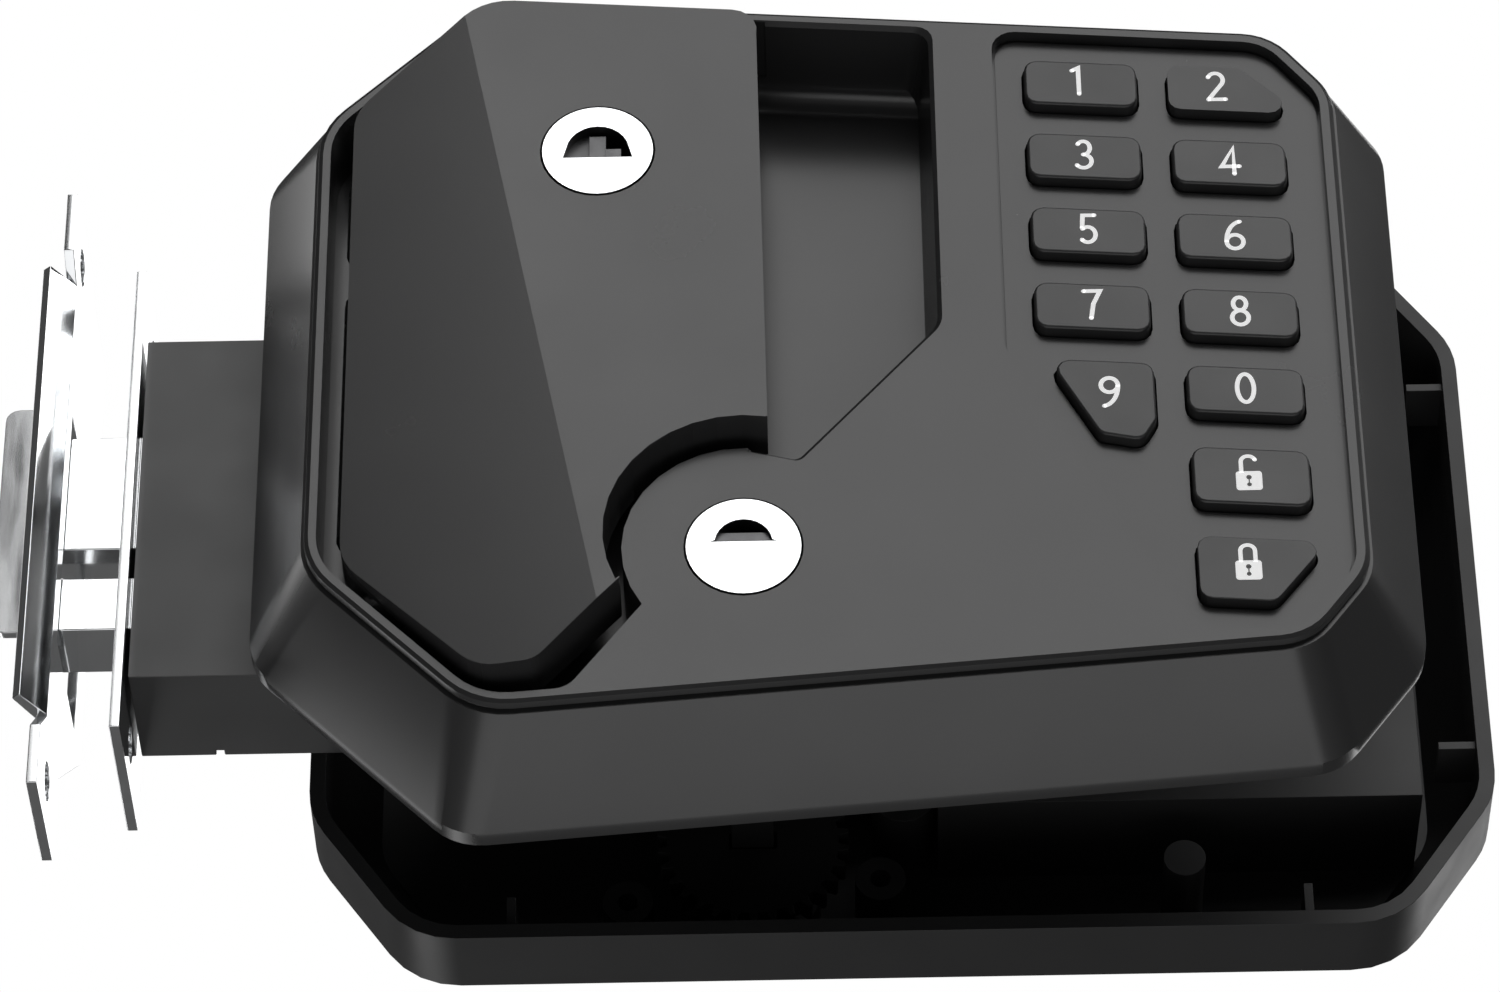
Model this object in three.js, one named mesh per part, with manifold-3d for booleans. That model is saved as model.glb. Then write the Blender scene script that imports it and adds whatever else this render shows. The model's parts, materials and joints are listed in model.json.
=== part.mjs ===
// Keypad door lock for a camper or van door: exterior pull-paddle unit, latch case, strike and interior unit.
// Millimetres. X points right along the door, Y into the door from outside, Z up.
// The origin is the centre of the exterior flange, in the plane of the door's outer skin.
import * as THREE from 'three';
import { mergeVertices } from 'three/addons/utils/BufferGeometryUtils.js';
import Module from 'manifold-3d';

const wasm = await Module();
wasm.setup();

// ---------------------------------------------------------------- driving dimensions
const GAP = 0.3;                    // clearance between neighbouring pieces
const DOOR = 36;                    // door thickness, outer skin to inner skin

const FACE_Y = -16.4;               // plane of the exterior face
const FACE_LEFT = -56.8;
const FACE_RIGHT = 56.6;
const FACE_HALF = 45.4;             // half height of the face at X = 0
const TAPER = 0.0788;               // the face loses this much half height per mm of X (4.5 degrees)
const DRAFT = 6.7;                  // the skirt spreads this much from the face to the flange
const BAND = 2.2;                   // straight band at the flange
const LIP = 1.4;                    // rim of the face that is left round each pocket

const PADDLE_PROUD = 3.4;           // the paddle's flat stands this far off the face
const PADDLE_FALL = 1.5;            // the paddle's left edge lies this much lower than its flat
const PIVOT_X = -50.5;
const PIVOT_Y = -12;
const POCKET_FLOOR = -7;            // floor of the pocket behind the paddle
const RECESS_DEPTH = 12.9;
const RECESS_CHAMFER = 0.5;

const KEY_PLUG_R = 6.15;
const UPPER_LOCK = { x: -25.5, z: 23.3 };
const LOWER_LOCK = { x: -9.85, z: -28.5 };
const BOSS_R = 13;                  // round boss that carries the lower key plug

const PAD_DEPTH = 1.4;              // keypad pocket
const PAD_WALL = 2.5;
const PAD_GROOVE = 0.35;            // fine groove round the foot of the keypad pocket
const KEY_W = 12.6;
const KEY_H = 6.3;
const KEY_COLUMNS = [28.5, 44.55];
const KEY_TOP_ROW = 34.5;           // centre of the first row in the left column
const KEY_PITCH = 10.55;
const KEY_TRAVEL = 1;

const FACEPLATE = { x: -79.8, y: 20, z: -1, thick: 1.15, width: 21, height: 63.2 };
const CASE = { length: 80, depth: 15.8, height: 46.7, wall: 1.2 };
const THROW = 11.2;                 // how far both bolts stand out of the faceplate
const LATCH_Z = [-5.8, 9.8];
const DEADBOLT_Z = [-16.8, -9.8];
const CRANK_R = 7.8;                // crank pin radius: a quarter turn gives 11 mm of travel

const STRIKE_X = -86.6;             // face of the strike that looks at the door edge
const SHEET = 1.15;

const INNER = { left: -60.1, right: 74.4, bottom: -44.1, top: 53.2 };
const INNER_CUT = { x: 11.9, z: 16.9 };
const INNER_WALL = 10;              // straight part of the interior wall
const INNER_DEPTH = 22;
const INNER_SHOULDER = { left: 5, right: 4, bottom: 9.5, top: 5, cut: 0.78 };
const SHELL = 1.8;
const BAY = { x0: 12.9, x1: 64.9, z0: -23, z1: 35.4, floor: 5.6 };
const COVER_EDGE = 1;               // the battery cover laps this far over the bay's walls
const CELL_R = 7.1;
const CELL_LENGTH = 50.2;

const LATCH_ARM = { x: -46.5, z: -1, tip: 22.5 };
const MOUNT_SCREWS = [[-40, 29.5], [7.5, 29.5], [7.5, -20]];
const TURN_BOSSES = [[-24.2, -33.6], [4.6, -31]];   // screw bosses either side of the thumb-turn
const LOCATING_POST = { x: 39, z: -32.5 };

// ---------------------------------------------------------------- materials
const material = (color, roughness, metalness) =>
  new THREE.MeshStandardMaterial({ color, roughness, metalness });
const satinBlack = () => material(0x1c1c1d, 0.42, 0.35);
const moulded = () => material(0x151515, 0.6, 0);
const chrome = () => material(0xe4e5e6, 0.12, 1);
const steel = () => material(0xa9acb0, 0.35, 1);
const brass = () => material(0xc2a14e, 0.35, 1);
const rubber = () => material(0x26272a, 0.85, 0);
const boardGreen = () => material(0x1f5a3a, 0.55, 0);

// ---------------------------------------------------------------- solids
function solid(geometry) {
  const bare = geometry.index ? geometry.toNonIndexed() : geometry.clone();
  bare.deleteAttribute('normal');
  bare.deleteAttribute('uv');
  const merged = mergeVertices(bare, 1e-4);
  const mesh = new wasm.Mesh({
    numProp: 3,
    vertProperties: new Float32Array(merged.attributes.position.array),
    triVerts: new Uint32Array(merged.index.array),
  });
  return new wasm.Manifold(mesh);
}

function geometryOf(manifold) {
  const mesh = manifold.getMesh();
  const geometry = new THREE.BufferGeometry();
  geometry.setAttribute('position', new THREE.BufferAttribute(mesh.vertProperties, 3));
  geometry.setIndex(new THREE.BufferAttribute(mesh.triVerts, 1));
  geometry.computeVertexNormals();
  return geometry;
}

const join = (first, ...others) => others.reduce((sum, other) => sum.add(other), first);
const cut = (first, ...tools) => tools.reduce((rest, tool) => rest.subtract(tool), first);

const box = (x0, x1, y0, y1, z0, z1) =>
  solid(new THREE.BoxGeometry(x1 - x0, y1 - y0, z1 - z0)
    .translate((x0 + x1) / 2, (y0 + y1) / 2, (z0 + z1) / 2));

// Round bar along Y, X or Z.
const barY = (r, y0, y1, x, z, sides = 24) =>
  solid(new THREE.CylinderGeometry(r, r, y1 - y0, sides).translate(x, (y0 + y1) / 2, z));
const barX = (r, x0, x1, y, z, sides = 16) =>
  solid(new THREE.CylinderGeometry(r, r, x1 - x0, sides).rotateZ(Math.PI / 2)
    .translate((x0 + x1) / 2, y, z));
const barZ = (r, z0, z1, x, y, sides = 16) =>
  solid(new THREE.CylinderGeometry(r, r, z1 - z0, sides).rotateX(Math.PI / 2)
    .translate(x, y, (z0 + z1) / 2));

// ---------------------------------------------------------------- outlines in the XZ plane
const point = ([x, z]) => new THREE.Vector2(x, z);

// Moves every edge of an anticlockwise outline outward by a distance.
function offset(corners, distance) {
  const count = corners.length;
  const edges = corners.map((p, i) => {
    const q = corners[(i + 1) % count];
    const along = q.clone().sub(p).normalize();
    const outward = new THREE.Vector2(along.y, -along.x);
    return { start: p.clone().addScaledVector(outward, distance), along };
  });
  return edges.map((edge, i) => {
    const last = edges[(i + count - 1) % count];
    const between = edge.start.clone().sub(last.start);
    const t = between.cross(edge.along) / last.along.cross(edge.along);
    return last.start.clone().addScaledVector(last.along, t);
  });
}

// Rounds each corner of an outline with an arc. A radius of 0 keeps the corner sharp.
function rounded(corners, radii, steps = 5) {
  const count = corners.length;
  const outline = [];
  corners.forEach((corner, i) => {
    const radius = Array.isArray(radii) ? radii[i] : radii;
    if (radius <= 0) {
      outline.push(corner.clone());
      return;
    }
    const before = corners[(i + count - 1) % count].clone().sub(corner).normalize();
    const after = corners[(i + 1) % count].clone().sub(corner).normalize();
    const half = Math.acos(THREE.MathUtils.clamp(before.dot(after), -1, 1)) / 2;
    const centre = before.clone().add(after).normalize()
      .multiplyScalar(radius / Math.sin(half)).add(corner);
    const from = before.clone().multiplyScalar(radius / Math.tan(half)).add(corner).sub(centre);
    const to = after.clone().multiplyScalar(radius / Math.tan(half)).add(corner).sub(centre);
    let sweep = to.angle() - from.angle();
    if (sweep > Math.PI) sweep -= 2 * Math.PI;
    if (sweep < -Math.PI) sweep += 2 * Math.PI;
    for (let k = 0; k <= steps; k++) {
      const angle = from.angle() + sweep * k / steps;
      outline.push(new THREE.Vector2(Math.cos(angle), Math.sin(angle)).multiplyScalar(radius).add(centre));
    }
  });
  return outline;
}

// Arc of points about a centre, angles in degrees from +X towards +Z.
function arc(centre, radius, from, to, steps) {
  return Array.from({ length: steps + 1 }, (_, k) => {
    const angle = THREE.MathUtils.degToRad(from + (to - from) * k / steps);
    return new THREE.Vector2(centre.x + radius * Math.cos(angle), centre.z + radius * Math.sin(angle));
  });
}

// Straight prism of an XZ outline between two Y planes.
function prism(outline, y0, y1) {
  const geometry = new THREE.ExtrudeGeometry(new THREE.Shape(outline), {
    depth: y1 - y0, bevelEnabled: false, steps: 1,
  });
  return solid(geometry.rotateX(Math.PI / 2).translate(0, y1, 0));
}

// Skin through matching XZ outlines at rising Y, closed by a flat cap at each end.
function loft(sections) {
  const size = sections[0].outline.length;
  const positions = sections.flatMap(({ outline, y }) => outline.flatMap((p) => [p.x, y, p.y]));
  const indices = [];
  for (let s = 0; s + 1 < sections.length; s++) {
    for (let i = 0; i < size; i++) {
      const a = s * size + i;
      const b = s * size + (i + 1) % size;
      indices.push(a, b + size, b, a, a + size, b + size);
    }
  }
  const last = (sections.length - 1) * size;
  for (const [a, b, c] of THREE.ShapeUtils.triangulateShape(sections[0].outline, [])) indices.push(a, b, c);
  for (const [a, b, c] of THREE.ShapeUtils.triangulateShape(sections.at(-1).outline, [])) {
    indices.push(last + a, last + c, last + b);
  }
  const geometry = new THREE.BufferGeometry();
  geometry.setAttribute('position', new THREE.Float32BufferAttribute(positions, 3));
  geometry.setIndex(indices);
  return geometry;
}

// ---------------------------------------------------------------- scene graph
const lock = new THREE.Group();
const exterior = new THREE.Group();
const latch = new THREE.Group();
const interior = new THREE.Group();
latch.position.set(FACEPLATE.x, FACEPLATE.y, FACEPLATE.z);
interior.position.set(0, DOOR, 0);
lock.add(exterior, latch, interior);

function part(group, name, shape, look, place = [0, 0, 0]) {
  const geometry = shape instanceof THREE.BufferGeometry ? shape : geometryOf(shape);
  const mesh = new THREE.Mesh(geometry, look);
  mesh.name = name;
  mesh.position.set(...place);
  group.add(mesh);
}

// ---------------------------------------------------------------- exterior housing
const faceHalf = (x) => FACE_HALF - TAPER * x;
const faceCorners = [
  [FACE_RIGHT, -32.5], [FACE_RIGHT, 32.8], [50.1, faceHalf(50.1)], [-38.6, faceHalf(-38.6)],
  [FACE_LEFT, 30.3], [FACE_LEFT, -29.8], [-38.3, -faceHalf(-38.3)], [49.8, -faceHalf(49.8)],
].map(point);
const FACE_RADII = [7, 7, 7, 9, 9, 9, 9, 7];
const FLANGE_RADII = [6, 6, 6, 6, 6, 6, 6, 6];

const faceOutline = (distance, radii = FACE_RADII) =>
  rounded(offset(faceCorners, distance), radii.map((r) => r + distance * 0.2));

const section = (distance, y, radii) => ({ outline: faceOutline(distance, radii), y });

// Rounded rim of the face, the fine groove under it, the sloping skirt and the straight flange band.
function housingShell() {
  return solid(loft([
    section(-0.55, FACE_Y), section(-0.12, FACE_Y + 0.25), section(0, FACE_Y + 0.7),
    section(0, FACE_Y + 1.05), section(-0.4, FACE_Y + 1.1), section(-0.4, FACE_Y + 1.5),
    section(0.35, FACE_Y + 1.6), section(DRAFT, -BAND, FLANGE_RADII), section(DRAFT, 0, FLANGE_RADII),
  ]));
}

// Pocket that the paddle lies in: left part of the face, with the round boss left standing.
const lipCorners = offset(faceCorners, -LIP);
const POCKET_RIGHT = -6.8;
const bossStart = { x: -20.7, z: -35.8 };
function pocketOutline() {
  const bossTop = 76.4;
  const bossLow = 213.8;
  const [, , , topLeft, leftHigh, leftLow, bottomLeft] = lipCorners;
  const topRight = new THREE.Vector2(POCKET_RIGHT, faceHalf(POCKET_RIGHT) - LIP);
  const bottomRight = point([-28.5, -faceHalf(-28.5) + LIP]);
  const straight = rounded(
    [topRight, topLeft, leftHigh, leftLow, bottomLeft, bottomRight, point([bossStart.x, bossStart.z])],
    [0, 7.6, 7.6, 7.6, 7.6, 3, 0],
  );
  return [...straight, ...arc(LOWER_LOCK, BOSS_R, bossLow, bossTop, 12)];
}

// Finger recess beside the paddle. Its right wall leans in by a small draft, and its lower right
// edge is slanted.
const RECESS_RIGHT = 11.6;
const RECESS_EDGE = 1.75;           // rim left between the recess and the top of the face
const RECESS_DRAFT = 1.1;
const RECESS_FILLET = 2.9;
function recessOutline(draft, spread = 0) {
  const right = RECESS_RIGHT - draft;
  const left = POCKET_RIGHT - 2;
  const corners = [
    [right, 1 - draft], [right, faceHalf(right) - RECESS_EDGE], [left, faceHalf(left) - RECESS_EDGE],
    [left, -15.6], [-3.9, -16.9],
  ].map(point);
  return rounded(offset(corners, spread), [3.5, 2, 0, 0, 1.2], 4);
}

function recessTool() {
  const floor = FACE_Y + RECESS_DEPTH;
  const room = solid(loft([
    { outline: recessOutline(0, RECESS_CHAMFER), y: FACE_Y - 4 },
    { outline: recessOutline(0, RECESS_CHAMFER), y: FACE_Y },
    { outline: recessOutline(0), y: FACE_Y + RECESS_CHAMFER },
    { outline: recessOutline(RECESS_DRAFT), y: floor },
  ]));
  const corner = cut(
    box(-30, 30, -RECESS_FILLET, 1, -RECESS_FILLET, 1),
    barX(RECESS_FILLET, -31, 31, -RECESS_FILLET, -RECESS_FILLET, 40),
  ).rotate([0, THREE.MathUtils.radToDeg(Math.atan(TAPER)), 0])
    .translate([0, floor, faceHalf(0) - RECESS_EDGE]);
  return cut(room, corner);
}

// Keypad pocket: follows the rim of the face on its right, and steps in below the ninth key.
function padOutline(inset = 0) {
  const rim = offset(faceCorners, -1.5);
  const corners = [
    rim[0], rim[1], rim[2], point([18.7, faceHalf(18.7) - LIP]), point([18.7, -2.2]),
    point([36.6, -37.8]), point([39.4, -faceHalf(39.4) + 1.9]), rim[7],
  ];
  return rounded(offset(corners, -inset), [5.5, 5.5, 5.5, 2.5, 2.5, 4, 3, 5.5]);
}

function padTool() {
  const groove = cut(prism(padOutline(), PAD_Y - 1, PAD_Y + PAD_GROOVE),
    prism(padOutline(PAD_GROOVE), PAD_Y - 2, PAD_Y + 1));
  return join(prism(padOutline(), FACE_Y - 4, PAD_Y), groove);
}

// ---------------------------------------------------------------- keys
const rowZ = (row, x) => KEY_TOP_ROW - KEY_PITCH * row - TAPER * (x - KEY_COLUMNS[0]);

function keyBlock(x, centreZ, height) {
  const left = x - KEY_W / 2;
  const right = x + KEY_W / 2;
  const edge = (side, sign) => point([side, centreZ + sign * height / 2 - TAPER * (side - x)]);
  return [edge(right, -1), edge(right, 1), edge(left, 1), edge(left, -1)];
}

// Cuts the corner of a key outline off between a point along each of its two edges.
function chamferCorner(corners, index, before, after) {
  const corner = corners[index];
  const last = corners[(index + corners.length - 1) % corners.length];
  const next = corners[(index + 1) % corners.length];
  const a = corner.clone().add(last.clone().sub(corner).setLength(before));
  const b = corner.clone().add(next.clone().sub(corner).setLength(after));
  return [...corners.slice(0, index), a, b, ...corners.slice(index + 1)];
}

function keyOutlines() {
  const [left, right] = KEY_COLUMNS;
  const keys = [];
  for (let row = 0; row < 4; row++) {
    keys.push([`key_${2 * row + 1}`, keyBlock(left, rowZ(row, left), KEY_H)]);
    const block = keyBlock(right, rowZ(row, right), KEY_H);
    keys.push([`key_${2 * row + 2}`, row === 0 ? chamferCorner(block, 1, 4.2, 4.6) : block]);
  }
  keys.push(['key_9', [[34.8, -12.6], [34.8, -5], [23.2, -4.1], [28.6, -14.4], [33.2, -15.4]].map(point)]);
  keys.push(['key_0', keyBlock(right, rowZ(4, right), KEY_H)]);
  keys.push(['key_unlock', keyBlock(right, -20.5, 7.4)]);
  keys.push(['key_lock', chamferCorner(keyBlock(right, -32.7, 8), 0, 4.6, 6.2)]);
  return keys;
}

const keys = keyOutlines();
const PAD_Y = FACE_Y + PAD_DEPTH;
const KEY_TOP_Y = FACE_Y - 0.1;
const SHOULDER_Y = PAD_Y + PAD_WALL + GAP;
for (const [name, corners] of keys) {
  const cap = prism(rounded(corners, 1.4, 3), KEY_TOP_Y, SHOULDER_Y + 0.5);
  const shoulder = prism(offset(corners, 0.9), SHOULDER_Y, SHOULDER_Y + 1);
  part(exterior, name, join(cap, shoulder), moulded());
}

const MEMBRANE_Y = SHOULDER_Y + 1 + KEY_TRAVEL + GAP;
const padHollow = [
  [53.2, -32], [53.2, 31], [46.6, 38.2], [19.4, 40], [19.4, -2], [35, -37], [38, -39.4], [48, -38.6],
];
const padInside = (inset) => offset(padHollow.map(point), -inset);
part(exterior, 'keypad_membrane', prism(padInside(0.5), MEMBRANE_Y, MEMBRANE_Y + 1), rubber());
part(exterior, 'keypad_circuit_board',
  prism(padInside(0.5), MEMBRANE_Y + 1.3, MEMBRANE_Y + 2.9), boardGreen());
part(exterior, 'keypad_back_cover', cut(
  prism(padInside(0.5), MEMBRANE_Y + 3.2, -1.5),
  prism(padInside(2.3), MEMBRANE_Y + 3.1, -3.3),
  box(18, 30, -3.4, 0, 12, 18),
), moulded());

// ---------------------------------------------------------------- housing, cut for everything it holds
const SCREW_POST_R = 4.2;
const LOCK_BORE_R = KEY_PLUG_R + 0.25;
const CYLINDER_R = 8;
const GASKET = { outside: 5.2, inside: -2, depth: 1.2 };

function exteriorHousing() {
  let body = housingShell();
  body = cut(body, prism(pocketOutline(), FACE_Y - 4, POCKET_FLOOR), recessTool(), padTool());
  // Hollows behind the keypad, behind the paddle pocket and round the lower lock.
  const paddleHollow = [[-9.6, -12], [-9.6, 34], [-34, 34], [-47, 22], [-47, -24], [-37, -32], [-26, -32]];
  const lowHollow = [[29, -38], [24, -27], [5, -27], [5, -38]].map(point);
  body = cut(body, prism(padHollow.map(point), PAD_Y + PAD_WALL, 1),
    prism(paddleHollow.map(point), POCKET_FLOOR + 2.4, 1),
    prism(lowHollow, FACE_Y + 3, 1));
  for (const [, corners] of keys) {
    body = cut(body, prism(rounded(offset(corners, 0.25), 1.6, 3), PAD_Y - 1, PAD_Y + PAD_WALL + 1));
  }
  // Ways through the pocket floor for the paddle's lock and its latch arm.
  body = cut(body, box(-35.5, -13.5, POCKET_FLOOR - 1, 1, 13.6, 33),
    box(-50, -33, POCKET_FLOOR - 1, 1, LATCH_ARM.z - 5.5, LATCH_ARM.z + 5.5));
  // Lower lock: bore for the plug through the face, seat for its cylinder behind.
  const { x, z } = LOWER_LOCK;
  body = join(body, barY(11, FACE_Y + 2, -0.5, x, z, 32));
  body = cut(body, barY(LOCK_BORE_R, FACE_Y - 1, 1, x, z, 32),
    barY(CYLINDER_R + GAP, FACE_Y + 3, 1, x, z, 32));
  // Bearings for the pivot pin at both ends of the pocket.
  body = cut(body, barZ(1.8, -35.3, 35.3, PIVOT_X, PIVOT_Y));
  // Threaded posts for the three through screws.
  for (const [px, pz] of MOUNT_SCREWS) {
    body = join(body, barY(SCREW_POST_R, -5.5, 9, px, pz, 20));
    body = cut(body, barY(1.7, -2, 10, px, pz, 12));
  }
  body = cut(body, recessTool());
  const groove = prism(faceOutline(GASKET.outside), -GASKET.depth, 1)
    .subtract(prism(faceOutline(GASKET.inside), -GASKET.depth - 1, 2));
  return cut(body, groove);
}
part(exterior, 'exterior_housing', exteriorHousing(), satinBlack());

part(exterior, 'door_gasket', cut(
  prism(faceOutline(GASKET.outside - GAP), GAP - GASKET.depth, 0),
  prism(faceOutline(GASKET.inside + GAP), -GASKET.depth, 1),
), rubber());

// ---------------------------------------------------------------- paddle and its lock
const PADDLE_EDGE = { left: -52.7, right: -7.1 };
const PADDLE_FLAT_Y = FACE_Y - PADDLE_PROUD;
const PADDLE_BACK_Y = -12.6;

function paddleCorners() {
  const top = faceHalf(PADDLE_EDGE.right) - 2.75;
  return [
    [PADDLE_EDGE.right, top], [-38.4, faceHalf(-38.4) - 2.75], [PADDLE_EDGE.left, 30.4],
    [PADDLE_EDGE.left, -30.4], [-37.9, -44.9], [-31.8, -44.4], [-22.9, -34.6],
  ].map(point);
}

// The left part of the front slopes back along a crease that leans from top left to bottom right.
function paddleFacetTool() {
  const creaseTop = new THREE.Vector3(-41.8, PADDLE_FLAT_Y, 50);
  const creaseFoot = new THREE.Vector3(-22.9, PADDLE_FLAT_Y, -50);
  const along = creaseFoot.clone().sub(creaseTop).normalize();
  const leftOfCrease = new THREE.Vector3(-along.z, 0, along.x).negate();
  const fall = Math.atan2(PADDLE_FALL, 18);
  const slope = leftOfCrease.clone().multiplyScalar(Math.cos(fall))
    .add(new THREE.Vector3(0, Math.sin(fall), 0));
  const outward = slope.clone().cross(along).normalize();
  const facing = outward.y < 0 ? 1 : -1;
  const basis = new THREE.Matrix4().makeBasis(slope, along, slope.clone().cross(along));
  const slab = new THREE.BoxGeometry(60, 140, 10).translate(30, 50, 5 * facing);
  return solid(slab.applyMatrix4(basis).translate(creaseTop.x, creaseTop.y, creaseTop.z));
}

// Room that the paddle may take up, turned back by a swing of the paddle about its pin.
const PADDLE_SWING = 20;
function swungRoom(angle) {
  const middle = point([(PADDLE_EDGE.left + PADDLE_EDGE.right) / 2, 0]);
  const outline = pocketOutline().map((p) => p.clone().lerp(middle, 0.006));
  const pocket = prism(outline, FACE_Y - 1, POCKET_FLOOR - 0.2);
  const outside = box(-150, 150, -90, FACE_Y - 0.2, -90, 90);
  return join(pocket, outside).translate([-PIVOT_X, -PIVOT_Y, 0]).rotate([0, 0, angle])
    .translate([PIVOT_X, PIVOT_Y, 0]);
}

function paddleShape() {
  const straight = rounded(paddleCorners(), [3, 7, 6, 6, 5, 3, 0.6]);
  const outline = [...straight, ...arc(LOWER_LOCK, BOSS_R + 1.9, 205, 79.4, 12)];
  const inner = rounded([
    [-9.8, 36], [-36, 38], [-49, 25], [-49, -26], [-37, -38], [-28.8, -34], [-23, -14], [-9.8, -9],
  ].map(point), 1.5, 3);
  let body = cut(prism(outline, PADDLE_FLAT_Y, PADDLE_BACK_Y),
    prism(inner, PADDLE_FLAT_Y + 3.4, PADDLE_BACK_Y + 1));
  body = cut(body, paddleFacetTool());
  const hinge = join(barZ(3.1, -24, 24, PIVOT_X, PIVOT_Y),
    box(PIVOT_X - 1.5, PIVOT_X + 3, -16, -12.4, -24, 24));
  const armFoot = box(-49, -44.4, -16.5, -9.5, LATCH_ARM.z - 5, LATCH_ARM.z + 5);
  body = cut(join(body, hinge, armFoot), barZ(1.8, -40, 40, PIVOT_X, PIVOT_Y),
    box(PIVOT_X - 4, PIVOT_X + 3.6, -15.4, -8, 8, 15));
  const { x, z } = UPPER_LOCK;
  body = join(body, barY(CYLINDER_R + 2.4, PADDLE_FLAT_Y + 2, PADDLE_BACK_Y, x, z, 32));
  for (const angle of [PADDLE_SWING / 2, PADDLE_SWING]) body = body.intersect(swungRoom(angle));
  return cut(body, barY(LOCK_BORE_R, PADDLE_FLAT_Y - 1, -1, x, z, 32),
    barY(CYLINDER_R + GAP, PADDLE_FLAT_Y + 3.4, -1, x, z, 32));
}
part(exterior, 'paddle', paddleShape(), satinBlack());
part(exterior, 'paddle_pivot_pin', barZ(1.5, -35, 35, PIVOT_X, PIVOT_Y), steel());

// Coil round a straight axis, as a round wire swept along a helix.
class Helix extends THREE.Curve {
  constructor(radius, length, turns) {
    super();
    Object.assign(this, { radius, length, turns });
  }
  getPoint(t, target = new THREE.Vector3()) {
    const angle = 2 * Math.PI * this.turns * t;
    return target.set(this.radius * Math.cos(angle), this.radius * Math.sin(angle), this.length * t);
  }
}

function coil(radius, wire, length, turns) {
  const wireShape = new THREE.Shape(arc({ x: 0, z: 0 }, wire, 0, 300, 5));
  return new THREE.ExtrudeGeometry(wireShape, {
    extrudePath: new Helix(radius, length, turns), steps: Math.round(turns * 10),
  });
}
part(exterior, 'paddle_return_spring', coil(2.4, 0.35, 5.2, 4.5), steel(), [PIVOT_X, PIVOT_Y, 8.9]);

part(exterior, 'latch_arm', box(-1.5, 1.5, -8.9, LATCH_ARM.tip, -2, 2), steel(),
  [LATCH_ARM.x, 0, LATCH_ARM.z]);

// Half-moon keyways, cut from the plug's face, with the wards and shutter that are left standing in them.
const KEYWAY_DEPTH = 6;
const halfMoon = (halfWidth, base, centreZ, radius) =>
  [point([-halfWidth, base]), point([halfWidth, base]), ...arc({ x: 0, z: centreZ }, radius, 8, 172, 12)];
const wardedKeyway = () => cut(prism(halfMoon(3.85, -1, -0.1, 3.5), -1, KEYWAY_DEPTH),
  box(-5, -0.9, 1.5, KEYWAY_DEPTH + 1, -2, 5), box(-0.95, 0.9, 0.8, KEYWAY_DEPTH + 1, -2, 2.6),
  box(0.85, 2.6, 0.2, KEYWAY_DEPTH + 1, -2, 0.3));
const shutteredKeyway = () => cut(prism(halfMoon(3.6, 0.6, 0.4, 3.1), -1, KEYWAY_DEPTH),
  box(-5, 5, 0.7, KEYWAY_DEPTH + 1, -2, 2.2));

// Key plug: a round bar with its keyway. Its origin is on its axis in the face plane.
function keyPlug(length, tailLength, keyway) {
  const plug = barY(KEY_PLUG_R, 0, length, 0, 0, 48);
  const tail = box(-2.4, 2.4, length - 1, length + tailLength, -0.8, 0.8);
  return cut(join(plug, tail), keyway);
}

function cylinderBody(length) {
  return cut(barY(CYLINDER_R, 0, length, 0, 0, 32), barY(KEY_PLUG_R + GAP, -1, length - 1.2, 0, 0, 32),
    barY(4.6, length - 2, length + 1, 0, 0, 24));
}

const UPPER_PLUG_LENGTH = 15.5;
const upperPlug = [UPPER_LOCK.x, PADDLE_FLAT_Y - 0.1, UPPER_LOCK.z];
part(exterior, 'paddle_key_plug', keyPlug(UPPER_PLUG_LENGTH, 3.2, wardedKeyway()), chrome(), upperPlug);
part(exterior, 'paddle_key_cylinder', cylinderBody(13.6), steel(),
  [UPPER_LOCK.x, PADDLE_FLAT_Y + 3.7, UPPER_LOCK.z]);
part(exterior, 'paddle_lock_cam', cut(
  join(barY(4, 0, 1.6, 0, 0, 24), box(-2.5, 2.5, 0, 1.6, 0, 7.6)),
  box(-2.7, 2.7, -1, 3, -1.1, 1.1),
), steel(), [UPPER_LOCK.x, PADDLE_FLAT_Y + 3.7 + 13.6 + 0.4, UPPER_LOCK.z]);

const LOWER_PLUG_LENGTH = 15;
part(exterior, 'deadbolt_key_plug', keyPlug(LOWER_PLUG_LENGTH, 0.6, shutteredKeyway()), chrome(),
  [LOWER_LOCK.x, FACE_Y - 0.1, LOWER_LOCK.z]);
part(exterior, 'deadbolt_key_cylinder', cylinderBody(15.5), steel(),
  [LOWER_LOCK.x, FACE_Y + 3.3, LOWER_LOCK.z]);

// ---------------------------------------------------------------- latch case
// Built from the outer face of the faceplate.
const half = CASE.height / 2;
const front = -CASE.depth / 2;
const back = CASE.depth / 2;
const caseStart = FACEPLATE.thick + GAP;
const caseEnd = caseStart + CASE.length;
const localX = (x) => x - FACEPLATE.x;
const localY = (y) => y - FACEPLATE.y;
const localZ = (z) => z - FACEPLATE.z;
const latchLow = localZ(LATCH_Z[0]);
const latchHigh = localZ(LATCH_Z[1]);
const boltLow = localZ(DEADBOLT_Z[0]);
const boltHigh = localZ(DEADBOLT_Z[1]);
const LATCH_DEPTH = [-6.4, 5];
const BOLT_DEPTH = [-6.4, 2];
const crankX = localX(LOWER_LOCK.x);
const crankZ = localZ(LOWER_LOCK.z);

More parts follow.
